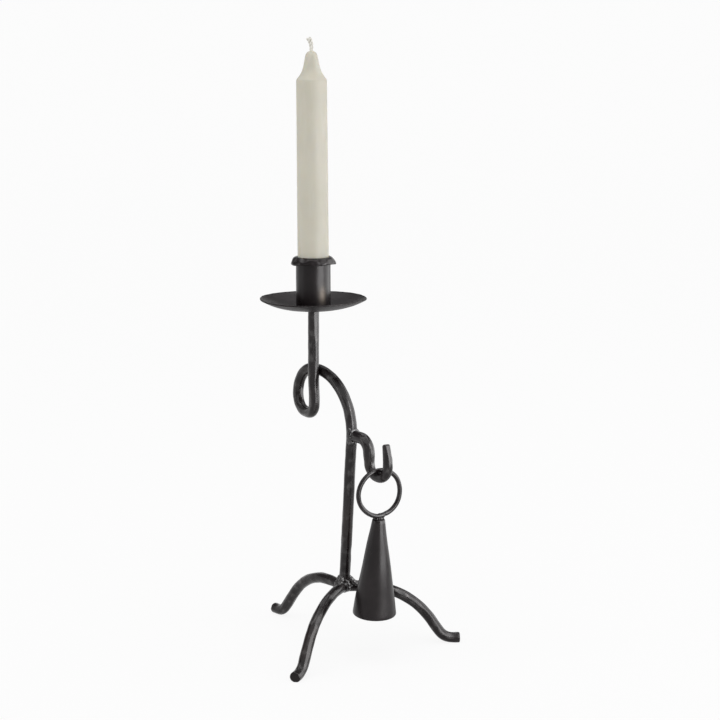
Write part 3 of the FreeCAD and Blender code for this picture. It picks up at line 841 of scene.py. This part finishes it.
def makeCone():
    foot, head = Vector(cone["mouth"]), Vector(cone["top"])
    wide, narrow = cone["mouthRadius"], cone["topRadius"]
    height = (head - foot).length
    slope = (narrow - wide) / height
    hollow = wide - cone["wall"]
    roof = height - cone["cap"]
    first, last = cone["wallEnds"]
    spots = [first + (height - first - last) * k / cone["rings"] for k in range(cone["rings"] + 1)]

    def belly(z):
        return cone["belly"] * math.sin(math.pi * min(1, z / height + 0.12))

    profile = [(hollow + 0.2, -0.5), (wide - 0.2, -0.5), (wide, -0.2)]
    profile += [(wide + slope * z + belly(z), z) for z in spots]
    profile += [(narrow - 0.25, height - 0.2), (narrow - 0.8, height), (nearAxis, height + 0.1)]
    profile += [(nearAxis, roof), (hollow + slope * roof - 0.3, roof)]
    profile += [(hollow + slope * z, z) for z in reversed(spots) if z < roof - 0.4]

    def wander(r, z, a):
        low = max(0.0, 1 - z / height)
        out = cone["oval"] * low * math.sin(2 * a + 1.1) + cone["lobes"] * math.sin(3 * a + z * 0.05)
        dents = cone["dents"] * roundNoise(a, z, *cone["dentGrain"]) * min(1.0, 4 * low)
        up = cone["mouthWave"] * low * low * math.sin(2 * a + 0.3)
        return (r + out + dents if r > 0.1 else r), z + up

    verts, faces = turnedShape(profile, (0, 0), cone["sides"], wander)
    lean = upward.rotation_difference(head - foot)
    verts = [foot + lean @ v for v in verts]
    newPiece("snufferCone", verts, faces, coneIron, "snuffer", "snuffer_cone")


makeCone()

# snuffer ring: bent wire whose ends meet over the cone with a step
ring = {
    "centre": (59.845, 1.781, 121.7),
    "radius": 16.3,
    "wire": 1.72,
    "turn": -10,  # degrees, from square to the hook
    "start": -3,
    "end": 373,
    "step": 1.3,  # mm, the upper end rides on the lower one
    "stepEnds": 42,  # degrees on from the start
    "uneven": [(0.16, 3, 0.8), (0.1, 5, 2.0)],
    "trueSpan": 60,  # degrees from the top, where it hangs on the hook
    "thinStart": 0.5,  # share of the wire at its start
    "thickens": 9,  # share gained over the whole length, up to the full wire
    "points": 180,
    "spacing": 0.55,
    "blows": {"seed": 15, "spacing": 6, "depth": 0.12, "reach": 6},
    "bar": {"sides": 24, "ends": (0.5, 0.5), "ripple": 0.06, "seed": 17},
}


def makeRing():
    turn = math.radians(ring["turn"])
    aside = Vector((-math.sin(turn), math.cos(turn), 0))
    points = []
    for k in range(ring["points"] + 1):
        degrees = ring["start"] + (ring["end"] - ring["start"]) * k / ring["points"]
        a = math.radians(degrees)
        fromTop = min(1.0, abs(degrees - 180) / ring["trueSpan"])
        tuck = ring["step"] * max(0.0, 1 - (degrees - ring["start"]) / ring["stepEnds"]) ** 2
        radius = ring["radius"] + waves(ring["uneven"], a) * fromTop - tuck
        across, down = aside * (radius * math.sin(a)), upward * (radius * math.cos(a))
        points.append(Vector(ring["centre"]) + across - down)
    route = evenly(points, ring["spacing"])
    blows = hammerBlows(total=ring["spacing"] * len(route), **ring["blows"])

    def wireAt(t):
        return ring["wire"] * min(1.0, ring["thinStart"] + t * ring["thickens"])

    verts, faces, ridges = forgedBar(route, wireAt, blows, **ring["bar"])
    newPiece("snufferRing", verts, faces, barIron, "snuffer", "snuffer_ring", {"ridge": ridges})


makeRing()

# welds: lumps given as mm out or aside, height and radius
welds = {
    "base": {  # the tripod's spatter
        "voxel": 0.24, "rough": 0.3, "noise": 3,
        "core": [(0, 0, 43.4, 4.3), (0, 0, 46.6, 4.6), (0.8, -0.6, 42.0, 2.4)],
        "crotch": [(3.4, 51.9, 1.0), (4, 50.5, 1.6), (5, 49.2, 2.0), (6.6, 47.9, 1.7), (8.4, 47.1, 1.3)],
        "betweenLegs": [(4.3, 48, 1.7), (4.8, 46, 2.3), (5.1, 44, 2.3), (4.3, 42.6, 2.0)],
        "web": [(4.2, 51.2, 1.5), (5.4, 49.6, 1.9), (7.2, 48.0, 1.9), (9.2, 46.8, 1.5)],
        "webTurn": -26,  # degrees from the right leg
        "beads": 10, "bead": (0.9, 1.5), "beadLevels": (41.4, 50.6), "seed": 4,
        "beadOut": 5.9, "beadFall": 0.3, "beadStray": 0.5,
    },
    "hook": {  # a collar round the hook's root and a smooth run down the stem's side
        "voxel": 0.22, "rough": 0.1, "noise": 5,
        "core": [
            (2.9, -2.5, 160.2, 1.7), (2.6, -2.9, 155.6, 2.2),
            (2.8, -2.5, 153.0, 1.9), (3.4, -0.4, 152.4, 1.6),
        ],
        "run": {
            "ahead": 1.5, "aside": -3.0, "level": 151.4, "rise": 1.1, "lump": 1.1, "swell": 1.3, "steps": 10,
        },
        "collar": {
            "ahead": 3.1, "hollow": 0.5, "wide": 3.9, "high": 4.1, "level": 157.2, "lump": 1.6, "count": 36,
        },
        "beads": 5, "bead": (0.5, 0.9), "beadOut": (3.8, 5.2), "seed": 8,
        "beadAhead": 4.3, "beadSlope": 0.9, "beadFrom": 3.6, "beadLevel": 157,
    },
    "pan": {  # thin runs under the pan and inside the cup's foot
        "voxel": 0.2, "rough": 0.16, "noise": 6,
        "out": 4.5, "turn": 0.35, "count": 18, "level": 243.9, "wobble": 0.2, "lump": 0.8,
    },
    "cup": {
        "voxel": 0.2, "rough": 0.08, "noise": 7,
        "out": 10.9, "turn": 0.1122, "count": 56, "level": 245.9, "wobble": 0, "lump": 0.4,
    },
    "ring": {  # from the cone's top
        "voxel": 0.2, "rough": 0.08, "noise": 8,
        "core": [
            (0, 0, 0.3, 2.6), (0.2, 2.2, 0.6, 2.0), (0, -1.9, 0.3, 1.7), (-1.6, 0.8, 0.3, 1.5),
            (1.6, 0.6, 0.3, 1.5), (0.4, 3.4, 1.6, 1.3), (0.5, 2.2, 2.2, 1.2),
        ],
    },
    "smoothing": 12,
    "wobbleTurn": 2.3,
    "broadScale": 0.33,
    "fineScale": 0.75,
    "fineShare": 0.22,
    "highSpots": 2,
}


def lumpyWeld(name, node, lumps, shape, finish=weldIron, body="frame"):
    # round lumps grown together, then roughened as cooled weld metal is
    mesh = bmesh.new()
    for x, y, z, radius in lumps:
        place = Matrix.Translation(Vector((x, y, z)) * mm)
        bmesh.ops.create_icosphere(mesh, subdivisions=3, radius=radius * mm, matrix=place)
    data = bpy.data.meshes.new(name + "Lumps")
    mesh.to_mesh(data)
    mesh.free()
    draft = bpy.data.objects.new(name + "Lumps", data)
    scene.collection.objects.link(draft)
    grow = draft.modifiers.new("grow", "REMESH")
    grow.mode = "VOXEL"
    grow.voxel_size = shape["voxel"] * mm
    ease = draft.modifiers.new("ease", "SMOOTH")
    ease.factor = 0.5
    ease.iterations = welds["smoothing"]
    grown = bpy.data.meshes.new_from_object(draft.evaluated_get(bpy.context.evaluated_depsgraph_get()))
    bpy.data.objects.remove(draft)
    broadSeed, fineSeed = Vector((shape["noise"], 0, 0)), Vector((0, shape["noise"], 0))
    high = []
    for vert in grown.vertices:
        spot = vert.co / mm
        broad = noise.noise(spot * welds["broadScale"] + broadSeed)
        shift = broad + welds["fineShare"] * noise.noise(spot * welds["fineScale"] + fineSeed)
        high.append(max(0.0, min(1.0, shift * welds["highSpots"])))
        vert.co += vert.normal * (shift * (shape["rough"] * mm))
    grown.attributes.new("ridge", "FLOAT", "POINT").data.foreach_set("value", high)
    grown.name = name
    dressPiece(name, grown, finish, body, node)


def lumpsRound(centre, turn, row):
    return [(centre[0] + out * math.cos(turn), centre[1] + out * math.sin(turn), z, r) for out, z, r in row]


def makeBaseWeld():
    shape = welds["base"]
    chance = random.Random(shape["seed"])
    x, y = stem["foot"]
    lumps = [(x + dx, y + dy, z, radius) for dx, dy, z, radius in shape["core"]]
    headings = sorted(math.radians(leg[2]) for leg in tripod["legs"])
    for a, b in zip(headings, headings[1:] + [headings[0] + fullTurn]):
        lumps += lumpsRound((x, y), a, shape["crotch"])
        lumps += lumpsRound((x, y), (a + b) / 2, shape["betweenLegs"])
    rightHeading = tripod["legs"][0][2]
    lumps += lumpsRound((x, y), math.radians(rightHeading + shape["webTurn"]), shape["web"])
    stray = shape["beadStray"]
    for _ in range(shape["beads"]):
        a = chance.uniform(0, fullTurn)
        z = chance.uniform(*shape["beadLevels"])
        fall = shape["beadFall"] * abs(z - tripod["level"])
        out = shape["beadOut"] - fall + chance.uniform(-stray, stray)
        lumps += lumpsRound((x, y), a, [(out, z, chance.uniform(*shape["bead"]))])
    lumpyWeld("baseWeld", "base_weld", lumps, shape)


def makeHookWeld():
    shape = welds["hook"]
    chance = random.Random(shape["seed"])
    x, y = hook["foot"]
    lumps = [(x + dx, y + dy, z, radius) for dx, dy, z, radius in shape["core"]]
    run, collar = shape["run"], shape["collar"]
    for k in range(run["steps"] + 1):
        radius = run["lump"] + run["swell"] * math.sin(math.pi * k / run["steps"])
        lumps.append((x + run["ahead"], y + run["aside"], run["level"] + run["rise"] * k, radius))
    for k in range(collar["count"]):
        a = k * fullTurn / collar["count"]
        ahead = x + collar["ahead"] - collar["hollow"] * abs(math.cos(a))
        height = collar["level"] + collar["high"] * math.sin(a)
        lumps.append((ahead, y + collar["wide"] * math.cos(a), height, collar["lump"]))
    for _ in range(shape["beads"]):
        a = chance.uniform(0, fullTurn)
        out = chance.uniform(*shape["beadOut"])
        ahead = x + shape["beadAhead"] - shape["beadSlope"] * (out - shape["beadFrom"])
        height = shape["beadLevel"] + out * math.sin(a)
        lumps.append((ahead, y + out * math.cos(a), height, chance.uniform(*shape["bead"])))
    lumpyWeld("hookWeld", "hook_weld", lumps, shape)


def makeRun(name, node, shape):
    lumps = []
    for k in range(shape["count"]):
        height = shape["level"] + shape["wobble"] * math.sin(k * welds["wobbleTurn"])
        lumps += lumpsRound(pan["centre"], k * shape["turn"], [(shape["out"], height, shape["lump"])])
    lumpyWeld(name, node, lumps, shape)


def makeRingWeld():
    x, y, z = cone["top"]
    lumps = [(x + dx, y + dy, z + dz, radius) for dx, dy, dz, radius in welds["ring"]["core"]]
    lumpyWeld("ringWeld", "ring_weld", lumps, welds["ring"], barIron, "snuffer")


makeBaseWeld()
makeHookWeld()
makeRun("panWeld", "pan_weld", welds["pan"])
makeRun("cupWeld", "cup_weld", welds["cup"])
makeRingWeld()

# candle: tapers a little, leans a hair to one side, with a hollow shoulder and a blunt nose
candle = {
    "foot": 245.7,
    "radius": 11.0,
    "topRadius": 10.72,
    "taperFrom": 0.24,  # share of the length, at the cup's lip
    "bevel": 1.8,
    "shoulder": 404.8,
    "nose": [  # radius and height above the shoulder
        (10.6, 0.0), (10.3, 0.4), (9.5, 1.4), (8.55, 2.7), (7.5, 4.3), (6.65, 6.0), (5.98, 8.1), (5.42, 10.3),
        (4.97, 12.4), (4.58, 14.5), (4.26, 16.2), (3.85, 17.4), (3.1, 18.5), (2.2, 19.15), (1.1, 19.45),
    ],
    "noseRise": 19.5,
    "lean": 0.0042,  # shift over height, towards the photograph's left
    "trueAt": 279,
    "unevenFrom": 285,
    "unevenOver": 20,  # mm until it is full
    "uneven": 0.09,
    "unevenGrain": (1.4, 0.03),
    "rings": 39,
    "noseOver": 10,
    "noseOval": 0.22,
    "noseTilt": 0.2,
    "sides": 96,
}
viewTurn = math.radians(photoView["turn"])
candleLeft = Vector((-math.cos(viewTurn), -math.sin(viewTurn), 0))


def leaning(v):
    return v + candleLeft * (candle["lean"] * (v.z - candle["trueAt"]))


def makeWaxBody():
    foot, shoulder, wide, bevel = candle["foot"], candle["shoulder"], candle["radius"], candle["bevel"]
    profile = [(nearAxis, foot), (5, foot), (wide - bevel, foot), (wide - 0.3, foot + 1.4)]
    for k in range(candle["rings"] + 1):
        share = k / candle["rings"]
        taper = max(0.0, (share - candle["taperFrom"]) / (1 - candle["taperFrom"]))
        height = foot + bevel + (shoulder - 0.35 - foot - bevel) * share
        profile.append((wide + (candle["topRadius"] - wide) * taper, height))
    profile += [(r, shoulder + up) for r, up in candle["nose"]]
    profile.append((nearAxis, shoulder + candle["noseRise"]))

    def wander(r, z, a):
        high = max(0.0, min(1.0, (z - candle["unevenFrom"]) / candle["unevenOver"]))
        nose = max(0.0, min(1.0, (z - shoulder) / candle["noseOver"]))
        oval = nose * candle["noseOval"] * math.sin(2 * a + 0.9) * min(1.0, r / 3)
        r += high * candle["uneven"] * roundNoise(a, z, *candle["unevenGrain"]) * min(1.0, r / 4) + oval
        return r, z + nose * candle["noseTilt"] * math.sin(a + 2.4)

    verts, faces = turnedShape(profile, pan["centre"], candle["sides"], wander)
    verts = [leaning(v) for v in verts]
    newPiece("candleWax", verts, faces, ivoryWax, "candle", "candle_wax")


makeWaxBody()

# wick: three twisted strands, bent over at the top where they open a little
wick = {
    "lift": 0.8,  # mm above the candle's foot
    "out": 5.5,
    "bend": 9,
    "turn": 26,
    "tip": 1.9,
    "heading": 232,
    "strands": 3,
    "strand": 0.72,
    "lay": 0.66,
    "pitch": 7.5,
    "opens": 1.1,
    "openPoints": 16,
    "shown": 14,  # mm at the top that get all their points
    "skip": 4,  # below, one point in so many
    "step": 0.5,
    "settle": 4,
    "bar": {"sides": 12, "ends": (0.2, 0.3), "ripple": 0.05},
}


def wickRoute():
    x, y = pan["centre"]
    heading, turn = math.radians(wick["heading"]), math.radians(wick["turn"])
    out = Vector((math.cos(heading), math.sin(heading), 0))
    run = wick["bend"] * math.tan(turn / 2)
    foot = Vector((x, y, candle["foot"] + wick["lift"]))
    corner = Vector((x, y, candle["shoulder"] + candle["noseRise"] + wick["out"]))
    tip = corner + (out * math.sin(turn) + upward * math.cos(turn)) * (run + wick["tip"])
    return roundedRoute([foot, corner, tip], [wick["bend"]], wick["step"], wick["settle"])


def makeWick():
    route = [leaning(p) for p in wickRoute()]
    last = len(route) - 1
    hidden = len(route) - int(wick["shown"] / wick["step"])
    verts, faces = [], []
    for strand in range(wick["strands"]):
        points = []
        for i, p in enumerate(route):
            if i < hidden and i % wick["skip"]:
                continue
            ahead = (route[min(i + 1, last)] - route[max(i - 1, 0)]).normalized()
            u = ahead.orthogonal().normalized()
            v = ahead.cross(u)
            a = fullTurn * (strand / wick["strands"] + i * wick["step"] / wick["pitch"])
            opened = max(0.0, (i - len(route) + wick["openPoints"]) / wick["openPoints"])
            spread = wick["lay"] * (1 + wick["opens"] * opened)
            points.append(p + u * (spread * math.cos(a)) + v * (spread * math.sin(a)))
        part, joined, _ = forgedBar(points, lambda t: wick["strand"], [], seed=strand, **wick["bar"])
        faces += [tuple(i + len(verts) for i in face) for face in joined]
        verts += part
    newPiece("candleWick", verts, faces, cottonWick, "candle", "candle_wick")


makeWick()
print("pieces made")
